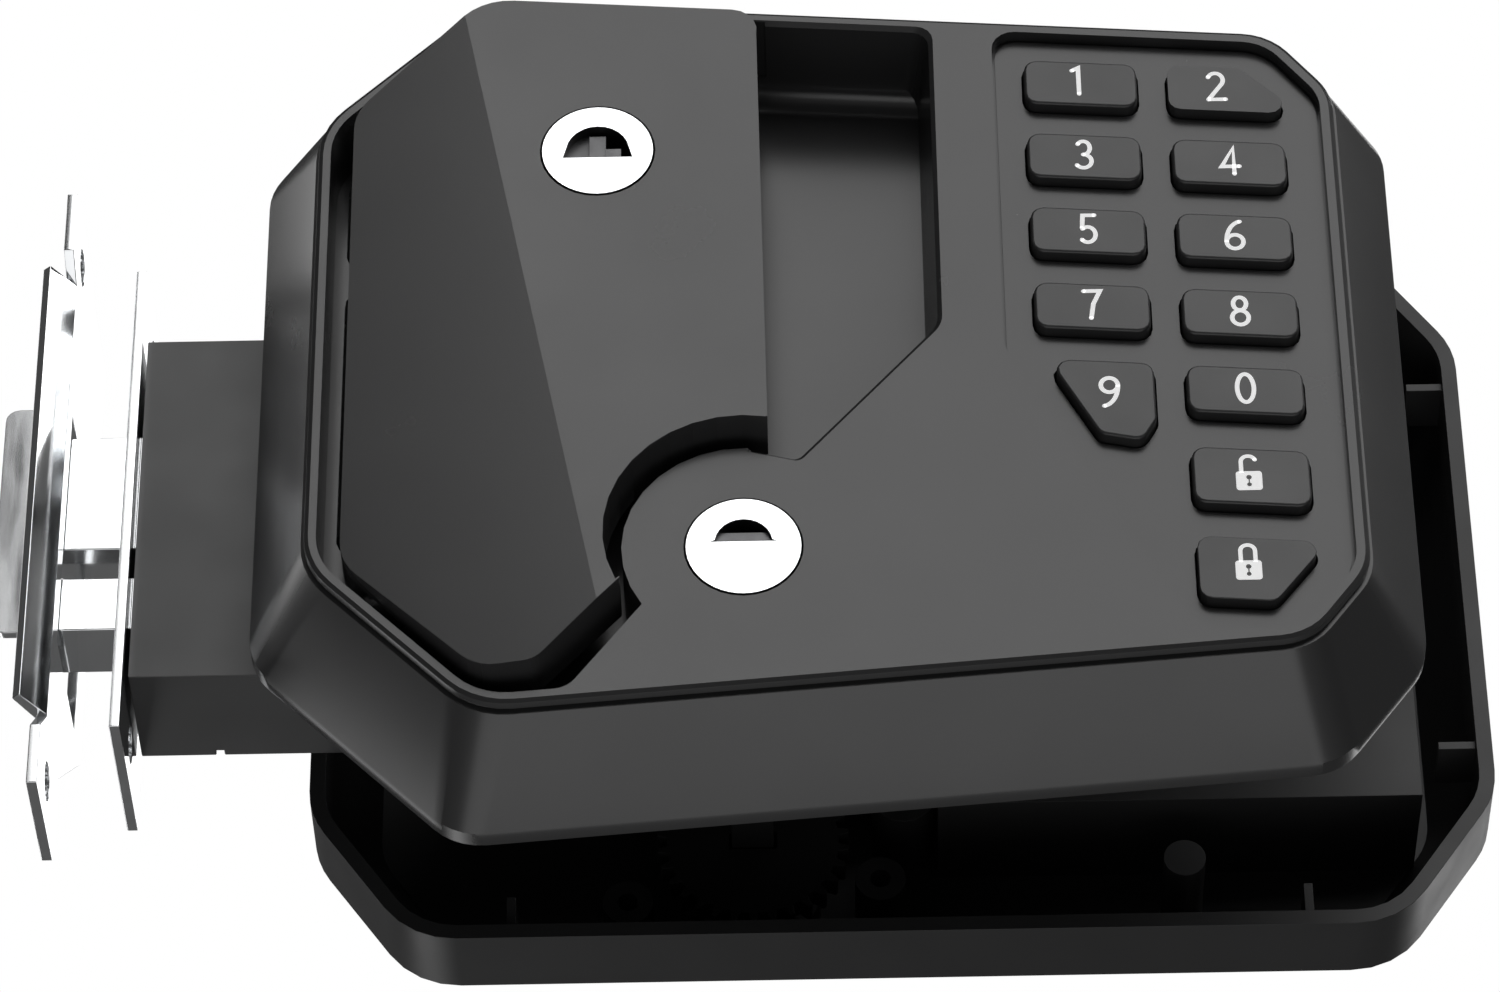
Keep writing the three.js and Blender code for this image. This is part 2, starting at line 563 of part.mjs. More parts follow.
function latchCase() {
  const { wall } = CASE;
  let body = box(caseStart, caseEnd, front, back, -half, half);
  body = cut(body, box(caseStart + wall, caseEnd - wall, front + wall, back + 1, -half + wall, half - wall));
  // Bolt openings in the end, slot for the outer latch arm, window for the deadbolt crank, notch in the edge.
  const arm = localX(LATCH_ARM.x);
  return cut(body,
    box(0, caseStart + 2, LATCH_DEPTH[0] - GAP, LATCH_DEPTH[1] + GAP, latchLow - GAP, latchHigh + GAP),
    box(0, caseStart + 2, BOLT_DEPTH[0] - GAP, BOLT_DEPTH[1] + GAP, boltLow - GAP, boltHigh + GAP),
    box(arm - 3, arm + 15, front - 1, front + 2, -3, 3),
    box(crankX - 10, crankX + 10, front - 1, back + 1, -half - 1, -half + wall + 4),
    box(9.9, 10.8, back - 0.9, back + 1, -half - 1, -half + 1.3));
}
part(latch, 'latch_case', latchCase(), moulded());

part(latch, 'latch_case_cover', cut(
  box(caseStart + CASE.wall + GAP, caseEnd - CASE.wall - GAP, back - 1.2, back,
    -half + CASE.wall + GAP, half - CASE.wall - GAP),
  box(crankX - 10, crankX + 10, back - 3, back + 1, -half, -half + CASE.wall + 5),
  box(localX(LATCH_ARM.x) - 4, localX(LATCH_ARM.x) + 20, back - 3, back + 1, -3, 3),
), moulded());

const SCREW_SPACING = 54;
function faceplate() {
  const { thick, width, height } = FACEPLATE;
  let plate = box(0, thick, -width / 2, width / 2, -height / 2, height / 2);
  plate = cut(plate,
    box(-1, 3, LATCH_DEPTH[0] - GAP, LATCH_DEPTH[1] + GAP, latchLow - GAP, latchHigh + GAP),
    box(-1, 3, BOLT_DEPTH[0] - GAP, BOLT_DEPTH[1] + GAP, boltLow - GAP, boltHigh + GAP));
  for (const z of [-SCREW_SPACING / 2, SCREW_SPACING / 2]) {
    plate = cut(plate, barX(2.1, -1, 3, 0, z, 20));
  }
  return plate;
}
part(latch, 'faceplate', faceplate(), chrome());

// Spring latch: block with its slope on the inner side, and a tail with a window for the latch arm.
function latchBolt() {
  const [y0, y1] = LATCH_DEPTH;
  const nose = [[-THROW, y0], [9.5, y0], [9.5, y1], [0.5, y1], [-THROW, y0 + 3.2]].map(point);
  const block = solid(new THREE.ExtrudeGeometry(new THREE.Shape(nose), {
    depth: latchHigh - latchLow, bevelEnabled: false, steps: 1,
  }).translate(0, 0, latchLow));
  const arm = localX(LATCH_ARM.x);
  const middle = localZ(LATCH_ARM.z);
  const tail = cut(box(8.5, arm + 6, -3, 0, middle - 3.8, middle + 3.8),
    box(arm - 2.5, arm + 3.2, -4, 1, middle - 2.6, middle + 2.6));
  return cut(join(block, tail), barX(2.9, -1, 10, -0.8, latchHigh - 3.6, 16));
}
part(latch, 'latch_bolt', latchBolt(), chrome());
part(latch, 'latch_spring', coil(2.1, 0.3, 9, 6).rotateY(Math.PI / 2), steel(),
  [22, -0.8, latchHigh - 3.2]);

// Deadbolt: square block and a tail plate with a slot for the crank pin.
function deadbolt() {
  const [y0, y1] = BOLT_DEPTH;
  const block = box(-THROW, 12, y0, y1, boltLow, boltHigh);
  const pinX = crankX - CRANK_R * Math.SQRT1_2;
  const tail = box(11, pinX + 4, -4.5, -2, boltLow + 0.5, boltHigh - 1);
  const foot = box(pinX - 4, pinX + 4, -4.5, -2, crankZ + 2.8, boltLow + 2);
  const slot = box(pinX - 2.05, pinX + 2.05, -6, 0, crankZ + 3.6, crankZ + CRANK_R + 2.4);
  return cut(join(block, tail, foot), slot);
}
part(latch, 'deadbolt', deadbolt(), chrome());

// Crank that throws the deadbolt: its origin is on the lower lock's axis.
function crank() {
  const reach = CRANK_R * Math.SQRT1_2;
  const arm = [[-1.6, -2.2], [2.2, 1.6], [-reach + 1.4, reach + 2.2], [-reach - 2.2, reach - 1.4]].map(point);
  const hub = barY(4.8, -1.6, 5.6, 0, 0, 24);
  const pin = barY(1.6, -5.4, 0, -reach, reach, 16);
  return cut(join(hub, prism(arm, -1.6, 1.2), pin), box(-2.8, 2.8, -5, 7, -1.2, 1.2));
}
part(latch, 'deadbolt_crank', crank(), steel(), [crankX, 0, crankZ]);
part(latch, 'deadbolt_tailpiece', box(-2.4, 2.4, -20.5, 1.2, -0.8, 0.8), steel(), [crankX, 0, crankZ]);

// ---------------------------------------------------------------- strike
function strike() {
  const inside = STRIKE_X - SHEET;
  const outline = [
    [9.5, -31], [5, -35.2], [5, -42.7], [20.7, -42.7], [20.7, -32], [36.6, -19.6], [36.6, 36.4], [22, 36.4],
    [21.2, 38.6], [5, 38.6], [5, 30.4], [9.5, 28.5],
  ].map(point);
  // The outline is drawn with Y across and Z up, then turned to stand square to X.
  const sheet = new THREE.ExtrudeGeometry(new THREE.Shape(outline), {
    depth: SHEET, bevelEnabled: false, steps: 1,
  });
  const turn = new THREE.Matrix4().makeBasis(
    new THREE.Vector3(0, 1, 0), new THREE.Vector3(0, 0, 1), new THREE.Vector3(1, 0, 0));
  let body = solid(sheet.applyMatrix4(turn).translate(inside, 0, 0));
  body = cut(body, box(inside - 1, STRIKE_X + 1, 12.9, 31, -18.6, 12.8));
  for (const z of [33.9, -37.5]) {
    body = cut(body, barX(2.2, inside - 1, STRIKE_X + 1, 12.8, z, 20));
  }
  // Tongue beside the bolts and lead-in ramp along the outer edge.
  const tongue = rounded([[-94, -18.3], [-94, 12.6], [STRIKE_X, 12.6], [STRIKE_X, -18.3]].map(point)
    .reverse(), [0, 0, 1.6, 1.6], 4);
  body = join(body, prism(tongue, 11.75, 12.9));
  const ramp = new THREE.Shape([[STRIKE_X, 9.3], [STRIKE_X, 10.6], [inside, 10.6], [-90.1, 6.2], [-89.2, 5.4]]
    .map(point).reverse());
  const leadIn = solid(new THREE.ExtrudeGeometry(ramp, { depth: 59.5, bevelEnabled: false, steps: 1 })
    .translate(0, 0, -31));
  return join(body, leadIn);
}
part(lock, 'strike_plate', strike(), chrome());

// ---------------------------------------------------------------- interior unit
// Y is measured from the door's inner skin.
// Corners of the outline at a share of the way up the shoulder: 0 at the wall and 1 at the back face.
function innerCorners(share) {
  const left = INNER.left + INNER_SHOULDER.left * share;
  const right = INNER.right - INNER_SHOULDER.right * share;
  const bottom = INNER.bottom + INNER_SHOULDER.bottom * share;
  const top = INNER.top - INNER_SHOULDER.top * share;
  const cutX = INNER_CUT.x * THREE.MathUtils.lerp(1, INNER_SHOULDER.cut, share);
  const cutZ = INNER_CUT.z * THREE.MathUtils.lerp(1, INNER_SHOULDER.cut, share);
  return [
    [right, bottom + cutZ], [right, top - cutZ], [right - cutX, top], [left + cutX, top],
    [left, top - cutZ], [left, bottom + cutZ], [left + cutX, bottom], [right - cutX, bottom],
  ].map(point);
}

const innerSection = (share, distance, y) =>
  ({ outline: rounded(offset(innerCorners(share), distance), 10 + distance, 4), y });

const HANDLE = { x0: -46, x1: -6, z0: -6, z1: 23, pivotX: -41, pivotY: 17.5 };
const GEAR = { teeth: 30, pinionTeeth: 12, module: 0.7, y0: 5, y1: 8 };
const gearRadius = (teeth) => teeth * GEAR.module / 2;
const pinionPlace = {
  x: LOWER_LOCK.x,
  z: LOWER_LOCK.z + gearRadius(GEAR.teeth) + gearRadius(GEAR.pinionTeeth),
};
const BOARD_Y = 13.5;
const TURN_R = 6;
const TURN_Y = 18;

function interiorHousing() {
  let body = solid(loft([
    innerSection(0, 0, 0), innerSection(0, 0, INNER_WALL), innerSection(1, 0, INNER_DEPTH - 0.6),
    innerSection(1, -0.7, INNER_DEPTH),
  ]));
  const hollow = solid(loft([
    innerSection(0, -SHELL, -1), innerSection(0, -SHELL, INNER_WALL),
    innerSection(1, -SHELL, INNER_DEPTH - 2.2),
  ]));
  body = cut(body, hollow);
  // Battery bay: a box standing up from the floor, open to the cabin.
  body = join(body,
    box(BAY.x0 - 1.6, BAY.x1 + 1.6, BAY.floor - 1.6, INNER_DEPTH - 1, BAY.z0 - 1.6, BAY.z1 + 1.6));
  body = cut(body, box(BAY.x0, BAY.x1, BAY.floor, INNER_DEPTH + 1, BAY.z0, BAY.z1),
    box(BAY.x0 - COVER_EDGE - GAP, BAY.x1 + COVER_EDGE + GAP, INNER_DEPTH - 1.8, INNER_DEPTH + 1,
      BAY.z0 - COVER_EDGE - GAP, BAY.z1 + COVER_EDGE + GAP));
  // Dish that the inner handle lies in.
  const { x0, x1, z0, z1, pivotX, pivotY } = HANDLE;
  body = join(body, box(x0 - 1.6, x1 + 1.6, 8.4, INNER_DEPTH - 1, z0 - 1.6, z1 + 1.6));
  body = cut(body, box(x0, x1, 10, INNER_DEPTH + 1, z0, z1),
    box(-45, -26, 8, 11, LATCH_ARM.z - 3, LATCH_ARM.z + 3),
    barZ(1.3, z0 - 1.3, z1 + 1.3, pivotX, pivotY, 12));
  // Bearing and dish for the thumb-turn, and bosses for the screws on either side of it.
  const { x: turnX, z: turnZ } = LOWER_LOCK;
  body = join(body, barY(5.6, 8.6, INNER_DEPTH - 3, turnX, turnZ),
    barY(TURN_R + 1.6, 15.6, INNER_DEPTH - 1, turnX, turnZ, 40));
  body = cut(body, barY(3.4, 8, INNER_DEPTH + 1, turnX, turnZ),
    barY(TURN_R + GAP, TURN_Y - 0.4, INNER_DEPTH + 1, turnX, turnZ, 40));
  for (const [x, z] of TURN_BOSSES) {
    body = join(body, barY(2.9, 9.6, INNER_DEPTH - 1, x, z, 20));
    body = cut(body, barY(1.2, 9, INNER_DEPTH - 2.5, x, z, 12));
  }
  body = join(body, barY(2.4, 4, INNER_DEPTH - 1, LOCATING_POST.x, LOCATING_POST.z, 20));
  for (const [x, z] of MOUNT_SCREWS) {
    body = join(body, barY(3.7, 9, INNER_DEPTH - 1, x, z, 20));
    body = cut(body, barY(1.8, 8, INNER_DEPTH + 1, x, z, 16), barY(3.1, 13, INNER_DEPTH + 1, x, z, 20));
  }
  // Short locating ribs round the rim.
  for (const x of [-37, 52.4]) {
    body = join(body, box(x - 0.5, x + 0.5, 1, 8, INNER.bottom + 1, INNER.bottom + 6));
  }
  for (const z of [-19.9, 31.2]) {
    body = join(body, box(INNER.right - 6, INNER.right - 1, 1, 8, z - 0.5, z + 0.5));
  }
  return body;
}
part(interior, 'interior_housing', interiorHousing(), moulded());

// Inside lever: a hollow bar on a pin, with an arm that reaches through the unit to the latch.
function insideLever() {
  const { x1, z0, z1, pivotX, pivotY } = HANDLE;
  const lever = box(pivotX - 2.4, x1 - 7, 16, 24, z0 + 0.8, z1 - 0.8);
  const relief = box(pivotX + 4, x1 - 10, 15, 20.5, z0 + 3.4, z1 - 3.4);
  const arm = box(-43.6, -41.2, -13.4, 17, LATCH_ARM.z - 2, LATCH_ARM.z + 2);
  return cut(join(cut(lever, relief), arm), barZ(1.3, z0 - 1, z1 + 1, pivotX, pivotY, 12));
}
part(interior, 'interior_handle', insideLever(), satinBlack());
part(interior, 'interior_handle_pin',
  barZ(1, HANDLE.z0 - 1, HANDLE.z1 + 1, HANDLE.pivotX, HANDLE.pivotY, 12), steel());

// Spur gear outline with straight-sided teeth, cut thin enough to run free.
function gearOutline(teeth, phase) {
  const radius = gearRadius(teeth);
  const outline = [];
  for (let tooth = 0; tooth < teeth; tooth++) {
    const middle = phase + 2 * Math.PI * tooth / teeth;
    for (const [share, rise] of [[-0.27, -1.1], [-0.12, 0.7], [0.12, 0.7], [0.27, -1.1]]) {
      const angle = middle + share * 2 * Math.PI / teeth;
      const r = radius + rise * GEAR.module;
      outline.push(new THREE.Vector2(r * Math.cos(angle), r * Math.sin(angle)));
    }
  }
  return outline;
}

// The thumb-turn, its spindle and the gear turn together on the lower lock's axis.
const turnAxis = [LOWER_LOCK.x, 0, LOWER_LOCK.z];
part(interior, 'thumb_turn', join(
  barY(TURN_R, TURN_Y, INNER_DEPTH - 1, 0, 0, 40),
  box(-5.4, 5.4, INNER_DEPTH - 2, INNER_DEPTH + 5.5, -2.1, 2.1),
  barY(3, 8.9, INNER_DEPTH + 1, 0, 0),
), satinBlack(), turnAxis);
part(interior, 'turn_spindle', box(-2.4, 2.4, -14.4, 8.6, -0.8, 0.8), steel(), turnAxis);
part(interior, 'drive_gear', cut(
  prism(gearOutline(GEAR.teeth, Math.PI / 2), GEAR.y0, GEAR.y1), box(-2.7, 2.7, 0, 20, -1.1, 1.1),
), moulded(), turnAxis);
part(interior, 'motor_pinion', cut(
  prism(gearOutline(GEAR.pinionTeeth, Math.PI / 2 + Math.PI / GEAR.pinionTeeth), GEAR.y0, GEAR.y1),
  barY(1.1, 0, 20, 0, 0, 12),
), brass(), [pinionPlace.x, 0, pinionPlace.z]);
part(interior, 'drive_motor', join(
  box(-6, 6, GEAR.y1 + 1, GEAR.y1 + 7, -5, 5), barY(0.75, GEAR.y0, GEAR.y1 + 2, 0, 0, 12),
), steel(), [pinionPlace.x, 0, pinionPlace.z]);

// Four AA cells lie one above another in the bay, between a contact plate at each end.
const cellPitch = (BAY.z1 - BAY.z0) / 4;
for (let i = 0; i < 4; i++) {
  const z = BAY.z0 + cellPitch * (i + 0.5);
  const cell = join(barX(CELL_R, -CELL_LENGTH / 2, CELL_LENGTH / 2 - 1.2, 0, 0, 20),
    barX(2.7, CELL_LENGTH / 2 - 2, CELL_LENGTH / 2, 0, 0, 12));
  const mesh = geometryOf(cell);
  if (i % 2) mesh.rotateZ(Math.PI);
  part(interior, `battery_${i + 1}`, mesh, brass(), [(BAY.x0 + BAY.x1) / 2, BAY.floor + 0.4 + CELL_R, z]);
}
for (const [name, x] of [['contact_left', BAY.x0 + 0.15], ['contact_right', BAY.x1 - 0.75]]) {
  part(interior, name, box(x, x + 0.6, BAY.floor + 1, BAY.floor + 13, BAY.z0 + 1, BAY.z1 - 1), steel());
}

part(interior, 'battery_cover', cut(
  box(BAY.x0 - COVER_EDGE, BAY.x1 + COVER_EDGE, INNER_DEPTH - 1.4, INNER_DEPTH + 0.8,
    BAY.z0 - COVER_EDGE, BAY.z1 + COVER_EDGE),
  barY(1.5, INNER_DEPTH - 3, INNER_DEPTH + 3, BAY.x0 + 1.2, (BAY.z0 + BAY.z1) / 2, 12),
), moulded());

part(interior, 'interior_circuit_board', box(-2, 9.5, BOARD_Y, BOARD_Y + 1.6, -14, 24), boardGreen());

// Ribbon from the keypad board, over the latch case, to the interior board.
function ribbon() {
  const crossing = DOOR + 1.4;
  const end = DOOR + BOARD_Y - GAP;
  const route = new THREE.Shape([
    [0, -6.6], [1, -6.6], [1, crossing + 1], [-11.6, crossing + 1], [-11.6, end], [-19, end], [-19, end - 1],
    [-12.6, end - 1], [-12.6, crossing], [0, crossing],
  ].map(point));
  return new THREE.ExtrudeGeometry(route, { depth: 5, bevelEnabled: false, steps: 1 });
}
part(lock, 'wiring_harness', ribbon(), rubber(), [22.4, 0, 13]);

// Through screws from the interior unit into the exterior housing's posts.
MOUNT_SCREWS.forEach(([x, z], i) => {
  part(lock, `mounting_screw_${i + 1}`, join(
    barY(2.8, DOOR + 13.3, DOOR + 16, 0, 0, 20), barY(1.4, -1, DOOR + 15, 0, 0, 12),
  ), steel(), [x, 0, z]);
});

export default lock;
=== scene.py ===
import json
import math

import bmesh
import bpy
from mathutils import Matrix, Vector


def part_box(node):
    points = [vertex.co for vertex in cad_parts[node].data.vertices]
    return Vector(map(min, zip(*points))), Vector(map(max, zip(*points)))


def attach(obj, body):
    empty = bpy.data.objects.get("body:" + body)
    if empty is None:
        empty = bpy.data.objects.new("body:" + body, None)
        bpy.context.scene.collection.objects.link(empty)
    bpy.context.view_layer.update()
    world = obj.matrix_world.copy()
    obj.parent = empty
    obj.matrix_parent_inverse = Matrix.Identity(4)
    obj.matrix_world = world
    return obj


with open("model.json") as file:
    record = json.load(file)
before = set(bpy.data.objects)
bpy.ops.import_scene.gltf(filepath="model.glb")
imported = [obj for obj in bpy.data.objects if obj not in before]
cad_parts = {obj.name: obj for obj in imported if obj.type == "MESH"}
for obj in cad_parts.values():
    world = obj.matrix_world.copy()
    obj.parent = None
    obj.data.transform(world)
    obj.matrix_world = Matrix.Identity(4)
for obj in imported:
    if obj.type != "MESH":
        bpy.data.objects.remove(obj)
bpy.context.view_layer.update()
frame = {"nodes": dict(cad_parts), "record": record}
NODES = frame["nodes"]

# ---------------------------------------------------------------- driving dimensions, metres
MM = 0.001
LEGEND_RISE = 0.03 * MM           # how far a printed legend stands off its key
LAYER = 0.002 * MM                # how far one stroke of a legend stands off another
DIGIT_HEIGHT = 4.3 * MM
STROKE = 0.5 * MM
WELD_GAP = 0.001 * MM             # corners closer than this are one corner
KEYWAY_SHADE_START = 0.05 * MM          # how far behind a plug's front the painted shade of its keyway begins
KEYWAY_SHADE_REACH = 5.2 * MM           # how far from a plug's middle that painted shade goes
FLOOR_HEIGHT = -1.7
FLOOR_HALF = 9                    # half of the floor's side
FLOOR_GLOW = 0.8                  # strength of the glow that only the camera sees

# ---------------------------------------------------------------- materials
def socketed(name, **values):
    """A new material whose Principled shader has these socket values."""
    made = bpy.data.materials.new(name)
    made.use_nodes = True
    shader = made.node_tree.nodes["Principled BSDF"]
    for socket, value in values.items():
        shader.inputs[socket.replace("_", " ")].default_value = value
    return made


def grain(made, size, height, strength):
    """Adds a fine bump whose grains are about size metres across."""
    nodes, links = made.node_tree.nodes, made.node_tree.links
    coordinates = nodes.new("ShaderNodeTexCoord")
    noise = nodes.new("ShaderNodeTexNoise")
    noise.inputs["Scale"].default_value = 1 / size
    noise.inputs["Detail"].default_value = 3
    bump = nodes.new("ShaderNodeBump")
    bump.inputs["Distance"].default_value = height
    bump.inputs["Strength"].default_value = strength
    links.new(coordinates.outputs["Object"], noise.inputs["Vector"])
    links.new(noise.outputs["Fac"], bump.inputs["Height"])
    links.new(bump.outputs["Normal"], nodes["Principled BSDF"].inputs["Normal"])
    return made


def uneven_gloss(made, size, low, high, stretch=(1, 1, 1)):
    """Varies the roughness between low and high over patches of about size metres."""
    nodes, links = made.node_tree.nodes, made.node_tree.links
    coordinates = nodes.new("ShaderNodeTexCoord")
    mapping = nodes.new("ShaderNodeMapping")
    mapping.inputs["Scale"].default_value = stretch
    noise = nodes.new("ShaderNodeTexNoise")
    noise.inputs["Scale"].default_value = 1 / size
    noise.inputs["Detail"].default_value = 5
    spread = nodes.new("ShaderNodeMapRange")
    spread.inputs["From Min"].default_value = 0.3
    spread.inputs["From Max"].default_value = 0.7
    spread.inputs["To Min"].default_value = low
    spread.inputs["To Max"].default_value = high
    links.new(coordinates.outputs["Object"], mapping.inputs["Vector"])
    links.new(mapping.outputs["Vector"], noise.inputs["Vector"])
    links.new(noise.outputs["Fac"], spread.inputs["Value"])
    links.new(spread.outputs["Result"], nodes["Principled BSDF"].inputs["Roughness"])
    return made


def powder_coat(name, shade):
    """Fine-grained paint on metal, a little uneven in gloss."""
    made = socketed(name, Base_Color=(shade, shade, shade * 1.02, 1), Specular_IOR_Level=0.6)
    uneven_gloss(made, 12 * MM, 0.24, 0.275)
    return grain(made, 0.28 * MM, 0.02 * MM, 0.16)


def moulded_plastic(name, shade, rough, specular=0.4):
    """Plastic with a fine moulded grain."""
    made = socketed(name, Base_Color=(shade, shade, shade * 1.02, 1), Specular_IOR_Level=specular)
    uneven_gloss(made, 9 * MM, rough - 0.03, rough + 0.04)
    return grain(made, 0.2 * MM, 0.012 * MM, 0.14)


def polished_chrome(name):
    """Bright plating with faint upright streaks."""
    made = socketed(name, Base_Color=(0.86, 0.87, 0.88, 1), Metallic=1.0)
    uneven_gloss(made, 3 * MM, 0.05, 0.13, stretch=(1, 1, 0.15))
    return grain(made, 1.6 * MM, 0.004 * MM, 0.1)


def plated_steel(name, shade, rough):
    """Satin metal. A larger rough makes it duller."""
    made = socketed(name, Base_Color=(shade, shade, shade * 1.02, 1), Metallic=1.0)
    uneven_gloss(made, 2 * MM, rough - 0.06, rough + 0.1, stretch=(1, 0.1, 1))
    return grain(made, 0.4 * MM, 0.006 * MM, 0.2)


def soft_rubber(name, shade):
    """Matt rubber with a coarse grain."""
    made = socketed(name, Base_Color=(shade, shade, shade, 1), Specular_IOR_Level=0.3)
    uneven_gloss(made, 5 * MM, 0.75, 0.9)
    return grain(made, 0.3 * MM, 0.03 * MM, 0.3)


def circuit_board(name):
    """Green lacquer on a board."""
    made = socketed(name, Base_Color=(0.012, 0.09, 0.035, 1), Specular_IOR_Level=0.5)
    uneven_gloss(made, 1.5 * MM, 0.3, 0.45)
    return grain(made, 0.5 * MM, 0.02 * MM, 0.3)


LOOKS = {
    "housing": powder_coat("housing_powder_coat", 0.032),
    "paddle": powder_coat("paddle_powder_coat", 0.032),
    "handle": powder_coat("handle_powder_coat", 0.032),
    "keys": moulded_plastic("key_plastic", 0.032, 0.36, 0.6),
    "inner_plastic": moulded_plastic("inner_plastic", 0.026, 0.42),
    "case": moulded_plastic("case_coat", 0.035, 0.33, 0.66),
    "chrome": polished_chrome("chrome"),
    "steel": plated_steel("plated_steel", 0.82, 0.22),
    "brass": socketed("turned_brass", Base_Color=(0.62, 0.42, 0.15, 1), Metallic=1.0, Roughness=0.3),
    "membrane": soft_rubber("membrane_rubber", 0.02),
    "gasket": soft_rubber("gasket_rubber", 0.012),
    "cable": soft_rubber("ribbon_jacket", 0.014),
    "board": circuit_board("circuit_board"),
    "cell": plated_steel("cell_sleeve", 0.35, 0.35),
}
HIDDEN_FITTINGS = ("turn_spindle", "deadbolt_tailpiece", "drive_gear", "mounting_screw_1",
                   "mounting_screw_2", "mounting_screw_3", "deadbolt_crank")
FITTINGS = moulded_plastic("black_oxide", 0.006, 0.6, 0.2)
# Rougher steel for the inside of a key plug's keyway; its dark colour is painted shade of the slot.
KEYWAY_SHADE_STEEL = plated_steel("keyway_steel", 0.13, 0.4)
# White print with a faint glow. The glow is painted light, since the legends hold no lamp.
PRINT_AND_GLOW = socketed("legend_print_and_glow", Base_Color=(0.86, 0.86, 0.86, 1), Roughness=0.45,
                 Emission_Color=(1, 1, 1, 1), Emission_Strength=0.35)

# ---------------------------------------------------------------- finishing the CAD nodes
PLAIN_EDGE = 0.15                 # bevel widths, in millimetres
KEY_EDGE = 0.35
EDGE = {
    "exterior_housing": 0.3, "paddle": 0.45, "interior_housing": 0.25, "latch_case": 0.2,
    "interior_handle": 0.6, "thumb_turn": 0.6, "battery_cover": 0.3,
    "faceplate": 0.1, "strike_plate": 0.1,
}
FLAT_ANGLE = 0.4                  # degrees between faces, up to which they are merged
HARD_ANGLE = 28                   # degrees between faces, from which their edge is rounded
CREASE_ANGLE = 3.5                # the same on the paddle, whose shallow crease has to stay crisp


def refine(node, width, least):
    """Welds the node's triangles, merges its flat faces, and rounds its edges.

    width is the bevel's, in millimetres, and least the smallest angle that is rounded, in degrees.
    """
    mesh = node.data
    if "custom_normal" in mesh.attributes:
        mesh.attributes.remove(mesh.attributes["custom_normal"])
    mesh.polygons.foreach_set("use_smooth", [True] * len(mesh.polygons))
    weld = node.modifiers.new("weld", "WELD")
    weld.merge_threshold = WELD_GAP
    flats = node.modifiers.new("flats", "DECIMATE")
    flats.decimate_type = "DISSOLVE"
    flats.angle_limit = math.radians(FLAT_ANGLE)
    edges = node.modifiers.new("edges", "BEVEL")
    edges.width = width * MM
    edges.segments = 3
    edges.limit_method = "ANGLE"
    edges.angle_limit = math.radians(least)
    edges.harden_normals = False
    shading = node.modifiers.new("shading", "WEIGHTED_NORMAL")
    shading.keep_sharp = True


def edge_width(name):
    """The bevel width of a node's edges, in millimetres."""
    return KEY_EDGE if name.startswith("key_") else EDGE.get(name, PLAIN_EDGE)


def paint_keyway_shade(node):
    """Gives the faces inside a key plug's keyway a rougher metal than its polished front, in a dark
    colour that is painted shade of the slot.
    """
    low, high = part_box(node.name)
    node.data.materials.append(KEYWAY_SHADE_STEEL)
    for face in node.data.polygons:
        centre = node.matrix_world @ face.center
        away = math.hypot(centre.x - (low.x + high.x) / 2, centre.z - (low.z + high.z) / 2)
        if centre.y > low.y + KEYWAY_SHADE_START and away < KEYWAY_SHADE_REACH:
            face.material_index = 1


SLOT_OF = {row["node"]: row["material_slot"] for row in frame["record"]["subparts"]}
for name, node in NODES.items():
    node.data.materials.clear()
    node.data.materials.append(FITTINGS if name in HIDDEN_FITTINGS else LOOKS[SLOT_OF[name]])
    # Key plugs get painted shade inside their keyways.
    if name.endswith("key_plug"):
        paint_keyway_shade(node)
    refine(node, edge_width(name), CREASE_ANGLE if name == "paddle" else HARD_ANGLE)

# ---------------------------------------------------------------- legends
# Numerals are drawn as pen strokes in a box one unit high, and scaled to DIGIT_HEIGHT.
def curve(x, z, half_width, half_height, start, end, steps=20):
    """Points on an ellipse about (x, z), from one angle in degrees to another."""
    angles = [math.radians(start + (end - start) * k / steps) for k in range(steps + 1)]
    return [(x + half_width * math.cos(a), z + half_height * math.sin(a)) for a in angles]


SIX = [curve(0, -0.215, 0.215, 0.225, 0, 360), curve(0.2, -0.215, 0.415, 0.655, 180, 97)]
DIGITS = {
    0: [curve(0, 0, 0.21, 0.44, 0, 360, 32)],
    1: [[(0.045, -0.44), (0.045, 0.44), (-0.12, 0.35)]],
    2: [curve(-0.015, 0.21, 0.2, 0.23, 155, -38) + [(-0.2, -0.415)], [(-0.22, -0.44), (0.23, -0.44)]],
    3: [curve(-0.02, 0.22, 0.17, 0.22, 145, -90), curve(-0.03, -0.22, 0.21, 0.22, 90, -145)],
    4: [[(0.11, -0.44), (0.11, 0.42), (-0.21, -0.19), (0.25, -0.19)]],
    5: [[(0.17, 0.44), (-0.13, 0.44), (-0.155, 0.03)], curve(-0.02, -0.19, 0.2, 0.25, 130, -140)],
    6: SIX,
    7: [[(-0.21, 0.43), (0.21, 0.43), (0.03, 0.02), (-0.04, -0.44)]],
    8: [curve(0, 0.23, 0.165, 0.205, 0, 360), curve(0, -0.215, 0.21, 0.225, 0, 360)],
    9: [[(-x, -z) for x, z in stroke] for stroke in SIX],
}
LEGEND_SHIFT = {                  # from the middle of the key, in millimetres
    "1": (-0.4, 0.3), "2": (-0.9, 0.4), "9": (1.2, 0.8), "unlock": (-0.3, 0.4), "lock": (-1.0, 0.7),
}


